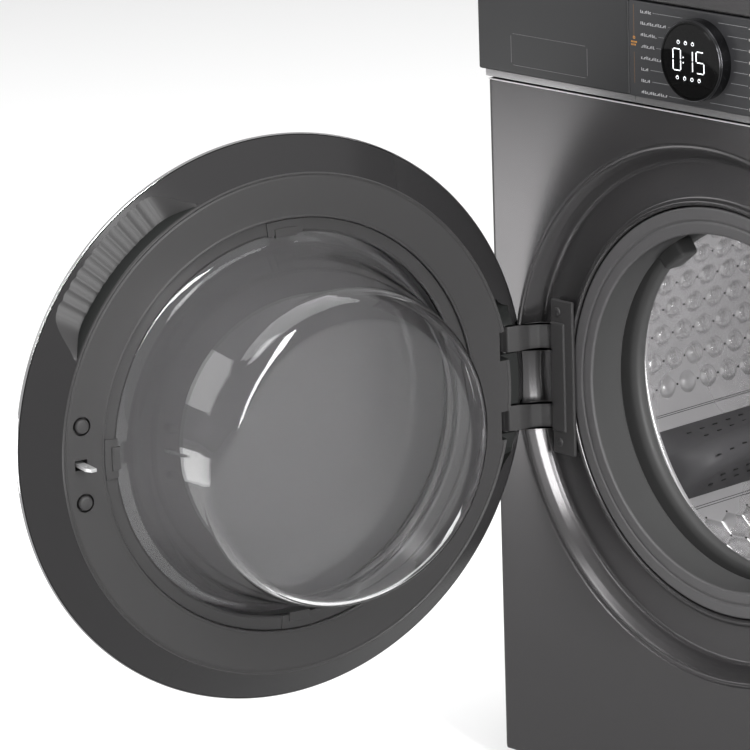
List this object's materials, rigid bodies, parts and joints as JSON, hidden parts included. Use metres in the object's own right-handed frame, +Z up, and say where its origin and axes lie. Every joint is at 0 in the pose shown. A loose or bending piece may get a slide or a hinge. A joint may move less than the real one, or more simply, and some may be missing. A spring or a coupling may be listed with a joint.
{
  "type": "front load washing machine",
  "caption": "Freestanding front load washing machine with a round see-through door standing open, a round dial and a detergent drawer.",
  "frame": {"origin": "centre of the underside of the base pan, which the levelling feet hold 12 mm above the floor", "axes": "+Z up, -Y out of the front panel towards the user, +X to the right of a person who faces the machine; the drum turns about Y"},
  "size_m": [0.6798, 1.1022, 0.85],
  "materials": {
    "cabinet_paint": "satin metallic",
    "panel_plastic": "satin",
    "gloss_black": "gloss",
    "smoked_glass": "gloss",
    "clear_glass": "gloss",
    "chrome_trim": "polished",
    "door_plastic": "satin",
    "drum_steel": "polished",
    "bare_steel": "satin",
    "cast_aluminium": "cast",
    "gasket_rubber": "matte",
    "tub_resin": "matte",
    "concrete": "rough",
    "board_green": "matte"
  },
  "bodies": {
    "cabinet": {"cabinet_wrap": "cabinet_paint", "front_panel": "cabinet_paint", "rear_cover": "bare_steel", "base_pan": "bare_steel", "worktop": "cabinet_paint", "control_panel": "panel_plastic", "control_board": "board_green", "display_lens": "gloss_black", "dispenser_housing": "tub_resin", "hinge_bracket": "door_plastic", "hinge_pin": "bare_steel", "door_lock": "panel_plastic", "door_gasket": "gasket_rubber", "damper_left": "panel_plastic", "damper_right": "panel_plastic", "spring_left": "bare_steel", "spring_right": "bare_steel", "drain_pump": "tub_resin", "inlet_valve": "tub_resin", "cord_gland": "gasket_rubber", "sump_hose": "gasket_rubber", "dispenser_hose": "gasket_rubber"},
    "washing_unit": {"tub_front": "tub_resin", "tub_rear": "tub_resin", "counterweight_upper": "concrete", "counterweight_front": "concrete", "heater": "bare_steel", "bearing_front": "bare_steel", "bearing_rear": "bare_steel", "motor": "bare_steel", "drive_belt": "gasket_rubber"},
    "drum": {"drum": "drum_steel", "lifter_a": "door_plastic", "lifter_b": "door_plastic", "lifter_c": "door_plastic", "drum_spider": "cast_aluminium", "drum_shaft": "bare_steel", "drum_pulley": "cast_aluminium"},
    "motor_rotor": {"motor_pulley": "bare_steel"},
    "door": {"door_trim_ring": "chrome_trim", "door_outer_window": "smoked_glass", "door_outer_frame": "door_plastic", "door_inner_frame": "door_plastic", "door_bowl": "clear_glass", "bowl_clamp_ring": "door_plastic", "door_peg_upper": "door_plastic", "door_peg_lower": "door_plastic", "latch_pin": "bare_steel"},
    "latch": {"latch_hook": "bare_steel"},
    "drawer": {"dispenser_front": "panel_plastic", "dispenser_tray": "tub_resin"},
    "dial": {"dial_ring": "chrome_trim"},
    "power_button": {"power_button": "panel_plastic"},
    "start_button": {"start_button": "panel_plastic"},
    "filter_flap": {"filter_flap": "cabinet_paint"},
    "filter_cap": {"filter_cap": "panel_plastic"},
    "foot_front_left": {"foot_front_left": "gasket_rubber"},
    "foot_front_right": {"foot_front_right": "gasket_rubber"},
    "foot_rear_left": {"foot_rear_left": "gasket_rubber"},
    "foot_rear_right": {"foot_rear_right": "gasket_rubber"}
  },
  "joints": [
    {"name": "suspension", "type": "slide", "parent": "cabinet", "child": "washing_unit", "axis": [0, 0, 1], "range_m": [-0.012, 0.012], "stiffness_N_per_m": 8000, "springref_m": 0.06, "deforming": ["spring_left", "spring_right", "damper_left", "damper_right", "door_gasket", "sump_hose", "dispenser_hose"]},
    {"name": "drum_spin", "type": "hinge", "parent": "washing_unit", "child": "drum", "pos_m": [0, 0, 0.408], "axis": [0, 1, 0], "continuous": true},
    {"name": "motor_spin", "type": "hinge", "parent": "washing_unit", "child": "motor_rotor", "pos_m": [0.13, 0.13, 0.078], "axis": [0, 1, 0], "continuous": true},
    {"name": "door_hinge", "type": "hinge", "parent": "cabinet", "child": "door", "pos_m": [-0.256, -0.295, 0.408], "axis": [0, 0, -1], "range_deg": [-102.4, 23]},
    {"name": "latch_pivot", "type": "hinge", "parent": "door", "child": "latch", "pos_m": [-0.35165, -0.77055, 0.408], "axis": [0, 0, 1], "range_deg": [-5, 5], "stiffness_Nm_per_rad": 0.05},
    {"name": "drawer_slide", "type": "slide", "parent": "cabinet", "child": "drawer", "axis": [0, -1, 0], "range_m": [0, 0.2]},
    {"name": "dial_turn", "type": "hinge", "parent": "cabinet", "child": "dial", "pos_m": [0.0035, -0.287, 0.7605], "axis": [0, 1, 0], "continuous": true},
    {"name": "power_press", "type": "slide", "parent": "cabinet", "child": "power_button", "axis": [0, 1, 0], "range_m": [0, 0.002], "stiffness_N_per_m": 400},
    {"name": "start_press", "type": "slide", "parent": "cabinet", "child": "start_button", "axis": [0, 1, 0], "range_m": [0, 0.002], "stiffness_N_per_m": 400},
    {"name": "flap_hinge", "type": "hinge", "parent": "cabinet", "child": "filter_flap", "pos_m": [0.2, -0.2655, 0.033], "axis": [1, 0, 0], "range_deg": [0, 95]},
    {"name": "cap_turn", "type": "hinge", "parent": "cabinet", "child": "filter_cap", "pos_m": [0.2, -0.25, 0.065], "axis": [0, 1, 0], "range_deg": [-90, 0]},
    {"name": "foot_front_left_thread", "type": "slide", "parent": "cabinet", "child": "foot_front_left", "axis": [0, 0, -1], "range_m": [0, 0.015]},
    {"name": "foot_front_right_thread", "type": "slide", "parent": "cabinet", "child": "foot_front_right", "axis": [0, 0, -1], "range_m": [0, 0.015]},
    {"name": "foot_rear_left_thread", "type": "slide", "parent": "cabinet", "child": "foot_rear_left", "axis": [0, 0, -1], "range_m": [0, 0.015]},
    {"name": "foot_rear_right_thread", "type": "slide", "parent": "cabinet", "child": "foot_rear_right", "axis": [0, 0, -1], "range_m": [0, 0.015]}
  ],
  "couplings": [
    {"joint": "motor_spin", "follows": "drum_spin", "ratio": 13.5}
  ]
}
